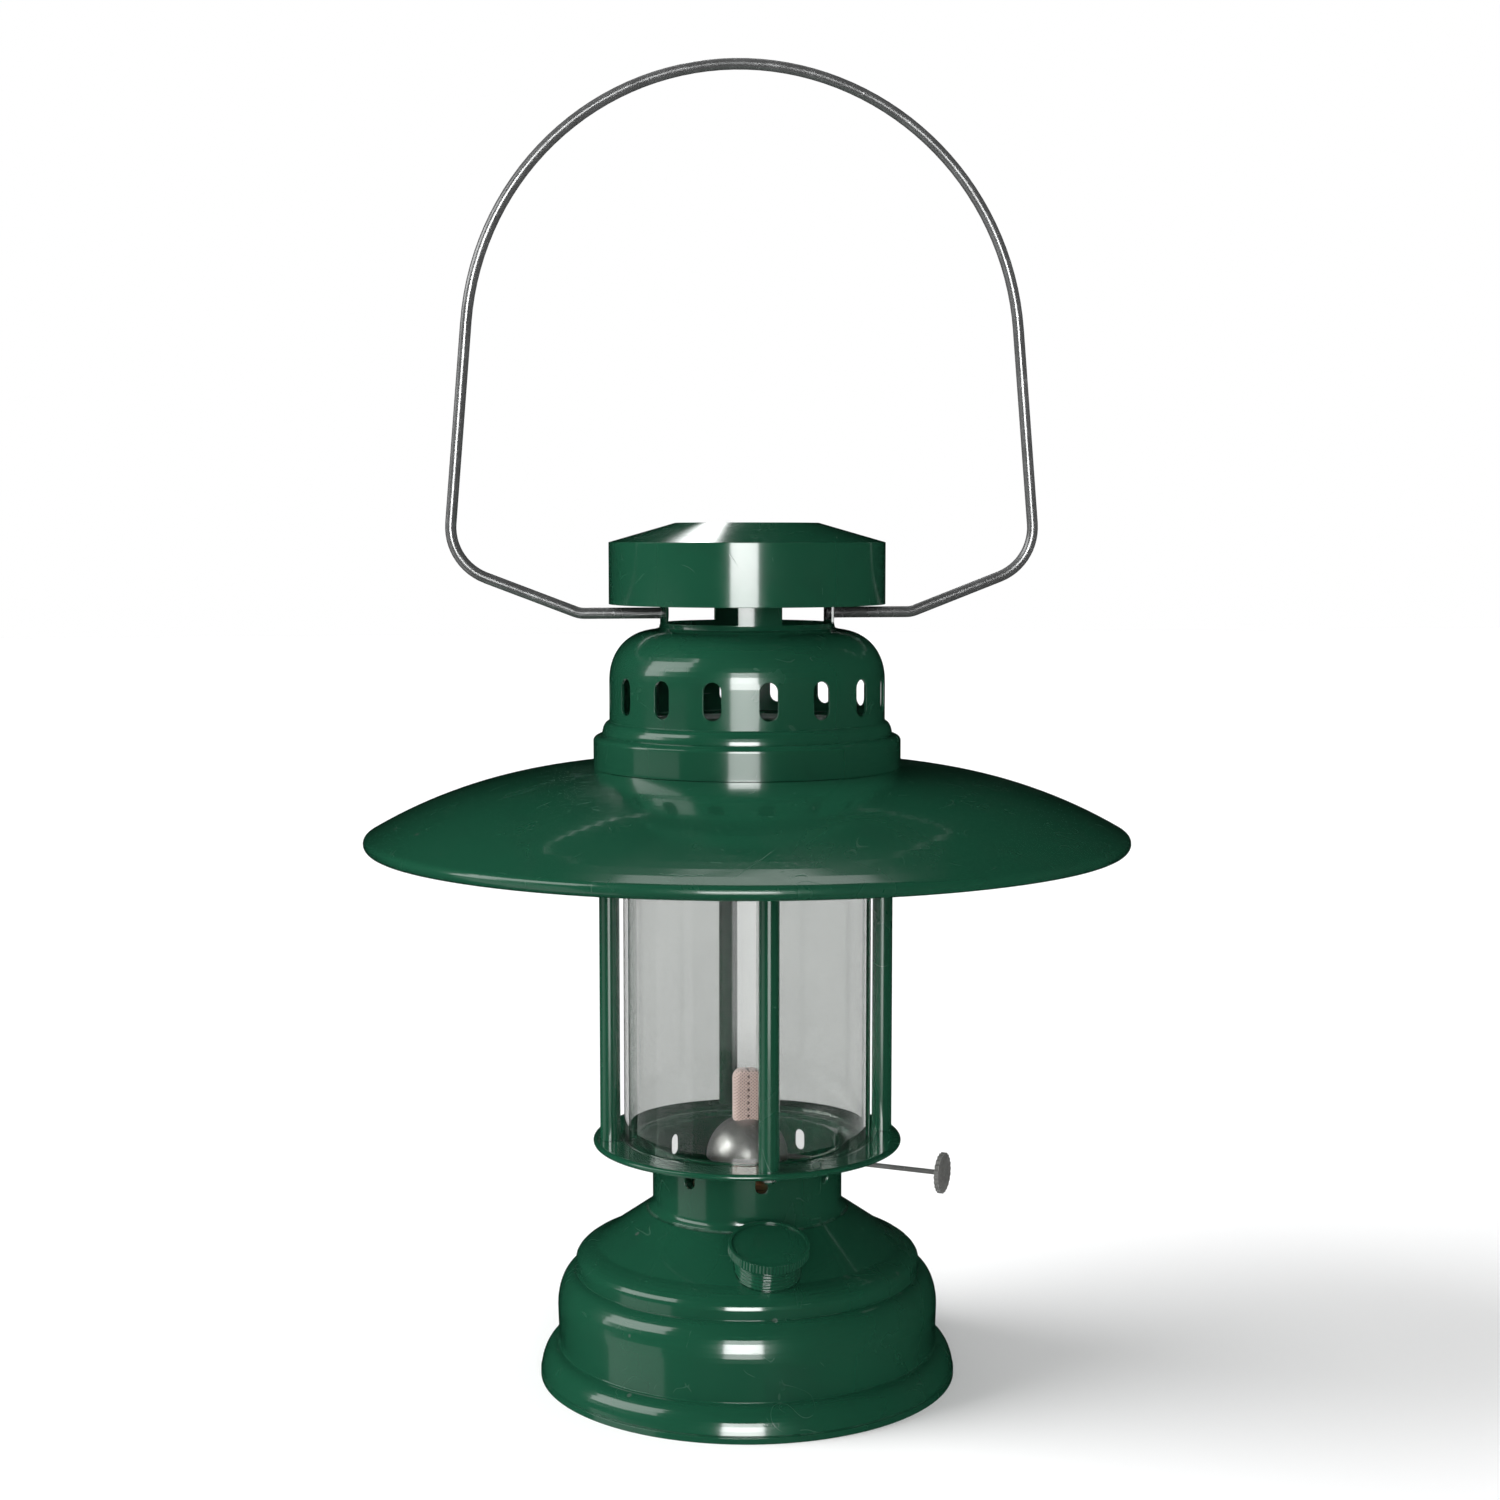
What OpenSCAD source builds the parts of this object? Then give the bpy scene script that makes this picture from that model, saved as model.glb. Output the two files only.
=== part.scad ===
// Kerosene camping lantern with a wide shade, a straight glass globe and a wire bail.
// Millimetres, +Z up, origin at the centre of the foot's resting face.
// +X points at the right-hand bail pivot and -Y points at the filler cap (front).

/* [Tank] */
// Outer radius of the foot
foot_r = 72.4; // [71:0.1:76]
// Height of the rounded foot
foot_h = 11; // [8:0.5:13]
// Outer radius of the tank wall at its top
wall_r = 66.3; // [65.5:0.1:67]
// Height at which the tank wall turns into the shoulder
wall_top = 24.5; // [20:0.5:28]
// Outer radius of the pressed step above the shoulder
step_r = 60; // [58:0.5:61]
// Height of the lower edge of the step
step_low = 36.6; // [34:0.2:38]
// Height of the upper edge of the step
step_top = 40; // [39:0.2:41.4]
// Height of the flat deck inside the neck
deck_z = 59.5; // [59:0.1:60]
// Thickness of the pressed sheet
sheet = 1; // [0.8:0.1:1.1]

/* [Neck] */
// Outer radius of the slotted neck
neck_r = 33; // [32.6:0.1:33]
// Number of air slots around the neck
neck_slots = 8; // [4:4:8]
// Width of one neck slot
neck_slot_w = 4.3; // [3:0.1:5]
// Height of one neck slot
neck_slot_h = 7.4; // [6:0.1:8]

/* [Cage] */
// Outer radius of the globe plate
plate_r = 53.6; // [53:0.1:56]
// Height of the top of the globe plate
plate_z = 83.4; // [83:0.1:84]
// Radius of the circle through the four rods
rod_circle = 47.9; // [47.8:0.1:48.1]
// Diameter of a cage rod
rod_d = 7; // [5:0.1:7.2]
// Height of the rods' upper shoulders
rod_top = 210.2; // [206:0.1:210.2]

/* [Globe] */
// Outer radius of the glass globe
globe_r = 42.9; // [42:0.1:42.95]
// Thickness of the glass
glass_t = 2; // [1.5:0.1:2.5]
// Height of the top rim of the globe
globe_top = 207.5; // [203:0.5:208]

/* [Shade] */
// Outer radius of the shade's rolled rim
shade_r = 131.1; // [120:0.1:140]
// Radius of the shade's arched section
arch_r = 162.7; // [155:0.1:180]
// Radius of the rolled rim's bead
bead_r = 2.6; // [1.5:0.1:3]

/* [Crown] */
// Outer radius of the crown's slotted wall
crown_r = 47.3; // [47:0.1:47.6]
// Outer radius of the band below the crown
band_r = 52.8; // [52.6:0.1:54]
// Height of the crown's shoulder, where the dome begins
dome_z = 242; // [240:0.5:242.5]
// Number of air slots around the crown
crown_slots = 16; // [8:4:16]
// Width of one crown slot
crown_slot_w = 6; // [4:0.1:7]
// Height of one crown slot
crown_slot_h = 12.6; // [9:0.1:12.8]
// Outer radius of the crown's narrow throat
throat_r = 29.8; // [29:0.1:30]
// Angle that one leg between two throat windows covers
leg_angle = 28.8; // [20:0.1:40]

/* [Hood] */
// Outer radius of the hood
hood_r = 47.3; // [44:0.1:50]
// Height of the hood's lower edge
hood_low = 268.5; // [268.5:0.1:270]
// Height at which the hood's wall turns into its cone
hood_wall_top = 289.5; // [289:0.1:290]
// Height of the hood's flat top
hood_top = 296.1; // [295.6:0.1:297]

/* [Bail] */
// Diameter of the bail wire
wire_d = 3.8; // [3:0.1:3.8]
// Height of the bail's pivot axis
pivot_z = 265.5; // [265.4:0.1:265.6]
// Radius of the bail's round top
arch_top_r = 95; // [93:0.5:97]
// Height of the centre of the bail's round top
arch_z = 354.3; // [345:0.1:365]
// Lean of the bail's sides from vertical, in degrees
side_lean = 4.9; // [3:0.1:6]

/* [Burner] */
// Radius of the burner dome
dome_r = 14.2; // [14:0.1:15]
// Width of the flat wick
wick_w = 10.4; // [8:0.1:10.4]
// Thickness of the flat wick
wick_t = 2.4; // [2:0.1:2.4]
// Height of the wick's tip
wick_top = 106.8; // [95:0.1:110]
// Direction of the winder shaft, in degrees from +X
winder_angle = -32.2; // [-36:0.1:-28]
// Height of the winder shaft
winder_z = 75.6; // [75.4:0.1:75.8]
// Radius of the winder knob
knob_r = 7; // [6:0.1:9]

/* [Filler] */
// Distance of the filler cap's centre from the lantern's axis
filler_y = 48.5; // [48.5:0.1:49.5]
// Height of the filler cap's centre
filler_z = 58.9; // [58.9:0.1:60]
// Tilt of the filler from vertical, in degrees
filler_tilt = 17; // [15:0.5:18]
// Radius of the filler cap
cap_r = 13.6; // [13:0.1:13.8]
// Pitch of the filler's thread
thread_pitch = 1.3; // [1:0.1:1.5]

/* [Hidden] */

$fn = 96;
GREEN = [0.09, 0.31, 0.21];
STEEL = [0.45, 0.46, 0.47];
BRASS = [0.72, 0.56, 0.33];
COTTON = [0.80, 0.66, 0.60];
GLASS = [0.80, 0.83, 0.82, 0.35];
CORK = [0.55, 0.42, 0.28];

// Gap left round a part that slides, and round a shaft that turns
slide_gap = 0.35;
shaft_gap = 0.05;

// Tank
seam_h = 2;
seam_in_r = foot_r - sheet - 1;
round_start = 14;
cone_r = 52.7;
cone_z = 46;
cone_turn = 55;
// The cone's small round is an ellipse that ends, at cone_turn, on the start of the straight cone
cone_ax = (step_r - cone_r) / (1 - cos(cone_turn));
cone_az = (cone_z - step_top) / sin(cone_turn);
cone_slope = atan((deck_z - cone_z) / (cone_r - neck_r - 0.2));

// Neck and globe plate
neck_t = 0.8;
neck_top = plate_z - 1.4;
lip_w = 0.9;
lip_t = 0.8;
neck_slot_z = 74.8;
flare_w = 2.3;
flare_h = 2.2;
seat_z = plate_z - 1.4;
seat_in_r = 40.2;
seat_out_r = globe_r + 0.5;
hub_r = 36;
ridge_in_r = 37.4;
ridge_out_r = 39;
ridge_h = 0.4;
curl_r = 1.1;

// Rods, studs and nuts
stud_r = 1.5;
nut_af = 5.5;
nut_h = 2.4;
stud_low = 79;
stud_high = rod_top + 7;
rod_angles = [-90, 0, 90, 180];

// Shade and guide ring stack on the rods' upper shoulders
guide_in_r = globe_r + slide_gap;
guide_t = 1.4;
guide_h = 11.6;
guide_flange_r = 52;
shade_under = rod_top + guide_t;
shade_z = shade_under + sheet + 0.06;
shade_in_r = 44.6;
arch_x = 48;
arch_c = shade_z - arch_r;

// Crown
band_top = shade_z + 9.3;
lip_r = 49.8;
lip_z = band_top + 2;
wall_low = lip_z + 4.6;
throat_z = dome_z + 17.9;
window_low = 262.1;
window_high = 281;
throat_top = 293;
crown_t = 0.9;
crown_slot_z = 238;

// Hood
hood_flat_r = 24.5;
hood_slope = (hood_top - hood_wall_top) / (hood_r - hood_flat_r);
hem_w = 0.7;

// Bail
wire_r = wire_d / 2;
run_end = 57.4;
foot_slope = 21;
corner_r = 18;
elbow_r = 8;

// Burner
wheel_r = 4.7;
wheel_teeth = 14;
wheel_gap = 0.3;
shaft_r = 0.85;
shaft_off = wick_t / 2 + wheel_gap + wheel_r;
knob_at = 69.8;
knob_t = 1.5;
tube_gap = 0.4;
tube_t = 0.5;
tube_w = wick_w + 2 * tube_gap + 2 * tube_t;
tube_d = wick_t + 2 * tube_gap + 2 * tube_t;
tube_top = 86.5;
dome_z0 = 76;
dome_t = 0.7;
collar_r = 14.5;
base_r = 19;
base_z = deck_z + 4.6;
base_top = base_z + 2.2;
bush_r = 2.4;

// Filler, measured along its own axis from the centre of the cap's top
spout_r = 11.3;
thread_depth = 0.5;
spout_bore = 9.2;
spout_top = -2.1;
spout_end = -15;
cap_skirt = -3;
cap_under = -1.5;
thread_turns = 6;

// Points on an ellipse, bent towards a square one where power is below 1
function bow(cx, cz, ax, az, from, to, steps, power = 1) =
    [for (i = [0:steps]) let (a = from + (to - from) * i / steps)
        [cx + ax * pow(max(cos(a), 0), power), cz + az * pow(max(sin(a), 0), power)]];

// Point on a curve that leaves a towards b and reaches c from b
function bend(a, b, c, s) = (1 - s) * (1 - s) * a + 2 * s * (1 - s) * b + s * s * c;

function reversed(list) = [for (i = [len(list) - 1:-1:0]) list[i]];

// Outside of the tank, moved inwards by t
function tank_side(t) = concat(
    bow(wall_r, 0, foot_r - wall_r - t, foot_h - t, round_start, 90, 10),
    [[wall_r - 0.4 - t, foot_h - t + 0.3]],
    bow(step_r, wall_top, wall_r - step_r - t, step_low - wall_top - t, 0, 90, 12),
    [[step_r - t, step_low - t]],
    bow(step_r - cone_ax, step_top, cone_ax - t, cone_az - t, 0, cone_turn, 6),
    [[neck_r + 0.2 - t * sin(cone_slope), deck_z - t * cos(cone_slope)]]);

// Height of the tank's cone at radius r
function cone_at(r) = deck_z - (r - neck_r - 0.2) * tan(cone_slope);

// Ridged round outline with a given number of rounded ridges
function ridged(r, depth, count, steps = 4) =
    [for (i = [0:count * steps - 1]) let (a = 360 * i / (count * steps), p = i % steps / steps)
        (r - depth * pow(sin(180 * p), 2)) * [cos(a), sin(a)]];

// Height of the hood's underside at radius r
function hood_under(r) = hood_wall_top - 0.6 + (hood_r - sheet - r) * hood_slope;

// A slot with round ends, cut along +X at height z
module slot_cut(w, h, r_in, r_out, z) {
    span = r_out - r_in;
    translate([r_in + span / 2, 0, z]) {
        cube([span, w, h - w], center = true);
        for (side = [-1, 1])
            translate([0, 0, side * (h - w) / 2])
                rotate([0, 90, 0]) cylinder(r = w / 2, h = span, center = true);
    }
}

module ring(r_out, r_in, z_low, z_high) {
    translate([0, 0, z_low]) difference() {
        cylinder(r = r_out, h = z_high - z_low);
        translate([0, 0, -1]) cylinder(r = r_in, h = z_high - z_low + 2);
    }
}

module at_rods() {
    for (a = rod_angles) rotate([0, 0, a]) translate([rod_circle, 0, 0]) children();
}

module stud_holes(z_low, z_high) {
    at_rods() translate([0, 0, z_low]) cylinder(r = stud_r, h = z_high - z_low, $fn = 32);
}

// The winder's own axes: +X along the shaft to the knob, +Y across the wick to the shaft's side
module winder_frame() {
    rotate([0, 0, winder_angle]) children();
}

// The filler's own axes: +Z out of the filler, origin at the centre of the cap's top
module filler_frame() {
    translate([0, -filler_y, filler_z]) rotate([filler_tilt, 0, 0]) children();
}

module tank_shell() {
    outside = tank_side(0);
    inside = tank_side(sheet);
    color(GREEN) difference() {
        rotate_extrude() polygon(concat(
            [[seam_in_r, 0], [foot_r, 0], [foot_r, seam_h], [foot_r - 0.5, seam_h + 0.3]],
            outside,
            [[collar_r + 1, deck_z], [collar_r + 1, deck_z - sheet],
             [neck_r - 0.6, deck_z - sheet]],
            reversed(inside),
            [[seam_in_r, seam_h + 0.2]]));
        filler_frame() translate([0, 0, spout_end]) cylinder(r = spout_r, h = -spout_end);
    }
}

module tank_bottom() {
    pan_r = seam_in_r - 8;
    pan_z = 2.4;
    color(GREEN) rotate_extrude() polygon([
        [0, pan_z], [pan_r, pan_z], [pan_r + 2, 0.6], [seam_in_r, 0.6],
        [seam_in_r, 0.6 + sheet], [pan_r + 2.4, 0.6 + sheet],
        [pan_r + 0.4, pan_z + sheet], [0, pan_z + sheet]]);
}

module neck() {
    bush_hole_from = 25;
    bush_hole_to = 40;
    foot = [neck_r + flare_w, cone_at(neck_r + flare_w)];
    color(GREEN) difference() {
        union() {
            ring(neck_r, neck_r - neck_t, deck_z, neck_top);
            // The foot is flared out on to the tank's cone
            rotate_extrude() polygon(concat(
                [[neck_r - neck_t / 2, deck_z], [neck_r + 0.2, deck_z]],
                [for (i = [0:6])
                    bend(foot, [neck_r, deck_z + 0.1], [neck_r, deck_z + flare_h], i / 6)],
                [[neck_r - neck_t / 2, deck_z + flare_h]]));
            ring(neck_r + lip_w, neck_r - neck_t, neck_top - lip_t, neck_top);
        }
        for (i = [0:neck_slots - 1]) rotate([0, 0, i * 360 / neck_slots - 90])
            slot_cut(neck_slot_w, neck_slot_h, neck_r - 3, neck_r + 3, neck_slot_z);
        winder_frame() translate([bush_hole_from, shaft_off, winder_z])
            rotate([0, 90, 0]) cylinder(r = bush_r, h = bush_hole_to - bush_hole_from);
    }
}

module filler_neck() {
    root_r = spout_r - thread_depth;
    thread_top = spout_top - 0.4;
    thread_end = thread_top - thread_turns * thread_pitch;
    color(GREEN) filler_frame() rotate_extrude() polygon(concat(
        [[spout_bore, spout_end], [spout_r, spout_end], [spout_r, thread_end - 0.6]],
        [for (i = [thread_turns - 1:-1:0], p = [0:3])
            [p == 0 || p == 3 ? root_r : spout_r,
             thread_top - (i + 1) * thread_pitch + thread_pitch * [0.1, 0.4, 0.6, 0.9][p]]],
        [[root_r, spout_top], [spout_bore, spout_top]]));
}

module filler_gasket() {
    color(CORK) filler_frame() ring(spout_r - 0.1, spout_bore, spout_top, cap_under);
}

module filler_cap() {
    rim_w = 1.1;
    recess = 0.6;
    color(GREEN) filler_frame() difference() {
        translate([0, 0, cap_skirt]) linear_extrude(-cap_skirt)
            polygon(ridged(cap_r, 0.25, 72, 4));
        translate([0, 0, cap_skirt - 1]) cylinder(r = spout_r + 0.3, h = cap_under - cap_skirt + 1);
        translate([0, 0, -recess]) cylinder(r = cap_r - rim_w, h = recess + 1);
    }
}

module burner_collar() {
    color(BRASS) union() {
        ring(collar_r + 3.5, collar_r, deck_z, base_z - 0.6);
        ring(collar_r + 1, collar_r, deck_z - 3, deck_z);
    }
}

module burner_gasket() {
    color(CORK) ring(collar_r + 3.5, collar_r + 0.1, base_z - 0.6, base_z);
}

module burner_base() {
    plug_r = collar_r - 0.05;
    color(BRASS) difference() {
        union() {
            translate([0, 0, deck_z - 5]) cylinder(r = plug_r, h = base_z - deck_z + 5);
            translate([0, 0, base_z]) linear_extrude(base_top - base_z)
                polygon(ridged(base_r, 0.5, 48, 4));
        }
        translate([0, 0, deck_z - 6]) cylinder(r = plug_r - 1.8, h = base_z - deck_z + 4);
        winder_frame() translate([0, 0, base_z])
            cube([tube_w, tube_d, 20], center = true);
    }
}

module wick_tube() {
    tube_low = 50;
    window_w = 8.8;
    color(BRASS) winder_frame() difference() {
        translate([-tube_w / 2, -tube_d / 2, tube_low]) cube([tube_w, tube_d, tube_top - tube_low]);
        translate([-tube_w / 2 + tube_t, -tube_d / 2 + tube_t, tube_low - 1])
            cube([tube_w - 2 * tube_t, tube_d - 2 * tube_t, tube_top - tube_low + 2]);
        translate([-window_w / 2, 0, winder_z - wheel_r - 0.5])
            cube([window_w, tube_d, 2 * wheel_r + 1]);
    }
}

// A clip round the wick tube whose two cheeks carry the winder shaft
module winder_bracket() {
    cheek_t = 0.8;
    reach = 8.4;
    high = 6;
    color(BRASS) winder_frame() difference() {
        translate([-tube_w / 2 - cheek_t, -tube_d / 2 - cheek_t, winder_z - high / 2])
            cube([tube_w + 2 * cheek_t, tube_d / 2 + cheek_t + reach, high]);
        translate([-tube_w / 2, -tube_d / 2, winder_z - high])
            cube([tube_w, tube_d + reach, 2 * high]);
        translate([-tube_w, shaft_off, winder_z])
            rotate([0, 90, 0]) cylinder(r = shaft_r + shaft_gap, h = 2 * tube_w);
    }
}

module burner_dome() {
    slit_w = wick_w + 4 * tube_gap;
    slit_t = wick_t + 3 * tube_gap;
    in_r = dome_r - dome_t;
    leg_w = 3;
    leg_directions = [100, 220, 340];
    notch_w = 2.6;
    color(STEEL) difference() {
        union() {
            translate([0, 0, dome_z0]) intersection() {
                difference() {
                    sphere(r = dome_r);
                    sphere(r = in_r);
                }
                cylinder(r = dome_r + 1, h = dome_r + 1);
            }
            intersection() {
                ring(dome_r, in_r, base_top, dome_z0);
                for (a = leg_directions) rotate([0, 0, a])
                    translate([in_r / 2, -leg_w / 2, base_top]) cube([dome_r, leg_w, 20]);
            }
        }
        winder_frame() translate([0, 0, dome_z0 + dome_r]) {
            cube([slit_w - slit_t, slit_t, 10], center = true);
            for (side = [-1, 1]) translate([side * (slit_w - slit_t) / 2, 0, 0])
                cylinder(r = slit_t / 2, h = 10, center = true);
        }
        // Notch for the winder shaft, open at the dome's lower edge
        winder_frame() translate([dome_r / 2, shaft_off - notch_w / 2, dome_z0 - 5])
            cube([dome_r, notch_w, winder_z + shaft_r + 0.6 - dome_z0 + 5]);
    }
}

module wick() {
    wick_low = 26;
    tip_r = 3.2;
    half = wick_w / 2;
    color(COTTON) winder_frame() translate([0, wick_t / 2, 0]) rotate([90, 0, 0])
        linear_extrude(wick_t) union() {
            translate([-half, wick_low]) square([wick_w, wick_top - tip_r - wick_low]);
            translate([-half + tip_r, wick_low]) square([wick_w - 2 * tip_r, wick_top - wick_low]);
            for (side = [-1, 1])
                translate([side * (half - tip_r), wick_top - tip_r]) circle(r = tip_r);
        }
}

module wick_shaft() {
    shaft_start = -8.4;
    color(STEEL) winder_frame() translate([shaft_start, shaft_off, winder_z])
        rotate([0, 90, 0]) cylinder(r = shaft_r, h = knob_at + knob_t / 2 - shaft_start);
}

module wick_wheels() {
    wheel_t = 1.6;
    wheel_x = 2.6;
    tooth_h = 0.9;
    color(BRASS) winder_frame() for (side = [-1, 1])
        translate([side * wheel_x - wheel_t / 2, shaft_off, winder_z]) rotate([90, 0, 90])
            linear_extrude(wheel_t) difference() {
                polygon([for (i = [0:2 * wheel_teeth - 1]) let (a = 180 * i / wheel_teeth)
                    (i % 2 == 0 ? wheel_r : wheel_r - tooth_h) * [cos(a), sin(a)]]);
                circle(r = shaft_r);
            }
}

module wick_knob() {
    color(STEEL) winder_frame() translate([knob_at - knob_t / 2, shaft_off, winder_z])
        rotate([90, 0, 90]) linear_extrude(knob_t) difference() {
            polygon(ridged(knob_r, 0.45, 22, 6));
            circle(r = shaft_r);
        }
}

module shaft_bush() {
    color(BRASS) winder_frame() translate([neck_r - 2.4, shaft_off, winder_z])
        rotate([0, 90, 0]) difference() {
            cylinder(r = bush_r, h = 3.6);
            translate([0, 0, -1]) cylinder(r = shaft_r + shaft_gap, h = 6);
        }
}

module globe_plate() {
    t = sheet;
    hub = neck_top - lip_t;
    color(GREEN) difference() {
        rotate_extrude() polygon(concat(
            [[neck_r, hub - t], [neck_r, hub], [hub_r, hub], [ridge_in_r, seat_z + ridge_h],
             [ridge_out_r, seat_z + ridge_h], [seat_in_r, seat_z], [seat_out_r, seat_z],
             [seat_out_r + 0.4, plate_z]],
            [for (i = [0:10]) let (a = 90 - 18 * i)
                [plate_r - curl_r + curl_r * cos(a), plate_z - curl_r + curl_r * sin(a)]],
            [[plate_r - 2 * curl_r, plate_z - 2 * curl_r], [plate_r - 2 * curl_r, plate_z - t],
             [seat_out_r + 1.3, plate_z - t], [seat_out_r + 0.9, seat_z - t],
             [seat_in_r + 0.2, seat_z - t], [ridge_out_r + 0.2, seat_z + ridge_h - t],
             [ridge_in_r + 0.5, seat_z + ridge_h - t], [hub_r + 0.4, hub - t]]));
        stud_holes(plate_z - 6, plate_z + 1);
    }
}

module cage_rod(angle) {
    color(GREEN) rotate([0, 0, angle]) translate([rod_circle, 0, 0]) union() {
        translate([0, 0, plate_z]) cylinder(d = rod_d, h = rod_top - plate_z);
        translate([0, 0, stud_low]) cylinder(r = stud_r, h = plate_z - stud_low, $fn = 32);
        translate([0, 0, rod_top]) cylinder(r = stud_r, h = stud_high - rod_top, $fn = 32);
    }
}

// Four hex nuts on the rod studs, each with a flat side facing the lantern's axis
module rod_nuts(z_low) {
    color(STEEL) at_rods() translate([0, 0, z_low]) difference() {
        rotate([0, 0, 30]) cylinder(d = nut_af / cos(30), h = nut_h, $fn = 6);
        translate([0, 0, -1]) cylinder(r = stud_r, h = nut_h + 2, $fn = 32);
    }
}

module globe_guide() {
    color(GREEN) difference() {
        rotate_extrude() polygon([
            [guide_in_r, shade_under - guide_h], [guide_in_r + 0.9, shade_under - guide_h],
            [guide_in_r + 0.9, rod_top], [guide_flange_r, rod_top],
            [guide_flange_r, shade_under],
            [guide_in_r, shade_under]]);
        stud_holes(rod_top - 1, shade_under + 1);
    }
}

module globe() {
    color(GLASS) ring(globe_r, globe_r - glass_t, seat_z, globe_top);
}

module shade() {
    bead_x = shade_r - bead_r;
    // The arch meets the bead where their tangents agree
    end_x = arch_x + (bead_x - arch_x) * arch_r / (arch_r - bead_r);
    steps = 24;
    under_x = 54;
    function arch(x, r) = [x, arch_c + sqrt(r * r - pow(x - arch_x, 2))];
    bead_c = arch(bead_x, arch_r - bead_r);
    bead_from = acos((end_x - bead_x) / bead_r);
    color(GREEN) difference() {
        rotate_extrude() polygon(concat(
            [[shade_in_r, shade_under], [shade_in_r, shade_z]],
            [for (i = [0:steps]) arch(arch_x + (end_x - arch_x) * i / steps, arch_r)],
            [for (i = [1:20]) let (a = bead_from - 13 * i)
                bead_c + bead_r * [cos(a), sin(a)]],
            [for (i = [0:steps]) let (x = bead_x - bead_r * 0.8)
                arch(x + (under_x - x) * i / steps, arch_r - sheet)],
            [[guide_flange_r, shade_under]]));
        stud_holes(shade_under - 1, shade_z + 1);
    }
}

module crown_base() {
    t = sheet;
    color(GREEN) difference() {
        rotate_extrude() polygon(concat(
            [[shade_in_r, shade_z], [band_r, shade_z]],
            bow(lip_r, band_top, band_r - lip_r, lip_z - band_top, 0, 90, 6),
            [[crown_r - t, lip_z], [crown_r - t, lip_z - t]],
            reversed(bow(lip_r - 0.4, band_top - 0.5, band_r - lip_r - t + 0.4,
                         lip_z - band_top - t + 0.5, 0, 90, 6)),
            [[band_r - t, shade_z + t], [shade_in_r, shade_z + t]]));
        stud_holes(shade_z - 1, shade_z + t + 1);
    }
}

module crown() {
    t = crown_t;
    window_angle = 90 - leg_angle;
    far = throat_r + 6;
    color(GREEN) difference() {
        rotate_extrude() polygon(concat(
            bow(crown_r, lip_z, lip_r - crown_r, wall_low - lip_z, 0, 90, 6),
            bow(throat_r, dome_z, crown_r - throat_r, throat_z - dome_z, 0, 84, 16, 0.9),
            [[throat_r + 0.4, throat_z + 0.5], [throat_r, throat_z + 2], [throat_r, throat_top],
             [throat_r - t, throat_top]],
            reversed(bow(throat_r - t, dome_z, crown_r - throat_r, throat_z - dome_z - t,
                         0, 90, 16, 0.9)),
            reversed(bow(crown_r - t, lip_z, lip_r - crown_r, wall_low - lip_z, 0, 90, 6))));
        for (i = [0:crown_slots - 1]) rotate([0, 0, i * 360 / crown_slots - 90])
            slot_cut(crown_slot_w, crown_slot_h, crown_r - 4, crown_r + 4, crown_slot_z);
        for (i = [0:3]) rotate([0, 0, 45 + 90 * i]) translate([0, 0, window_low])
            linear_extrude(window_high - window_low) polygon([[0, 0],
                [far, -far * tan(window_angle / 2)], [far, far * tan(window_angle / 2)]]);
        translate([-far, 0, pivot_z]) rotate([0, 90, 0])
            cylinder(r = wire_r + shaft_gap, h = 2 * far);
    }
}

module hood_collar() {
    t = 0.8;
    color(GREEN) rotate_extrude() polygon([
        [throat_r, window_high + 2], [throat_r + t, window_high + 2],
        [throat_r + t, hood_under(throat_r + t)], [throat_r, hood_under(throat_r)]]);
}

module hood() {
    in_r = hood_r - sheet;
    color(GREEN) rotate_extrude() polygon([
        [in_r - hem_w, hood_low], [hood_r, hood_low], [hood_r, hood_wall_top],
        [hood_flat_r, hood_top], [0, hood_top], [0, hood_under(hood_flat_r)],
        [hood_flat_r, hood_under(hood_flat_r)], [in_r, hood_under(in_r)],
        [in_r, hood_low + 1.4], [in_r - hem_w, hood_low + 1.4]]);
}

// Wire bent to a circular arc in the XZ plane, from one angle to another about (cx, cz)
module wire_arc(cx, cz, r, from, to) {
    translate([cx, 0, cz]) rotate([90, 0, 0]) rotate([0, 0, from])
        rotate_extrude(angle = to - from) translate([r, 0]) circle(r = wire_r - 0.01, $fn = 32);
}

// Straight wire in the XZ plane between two points, lapped a little over the bends it joins
module wire_line(a, b) {
    d = b - a;
    lap = 0.05;
    translate([a[0], 0, a[1]]) rotate([0, 90 - atan2(d[1], d[0]), 0])
        translate([0, 0, -lap]) cylinder(r = wire_r, h = norm(d) + 2 * lap, $fn = 32);
}

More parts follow.
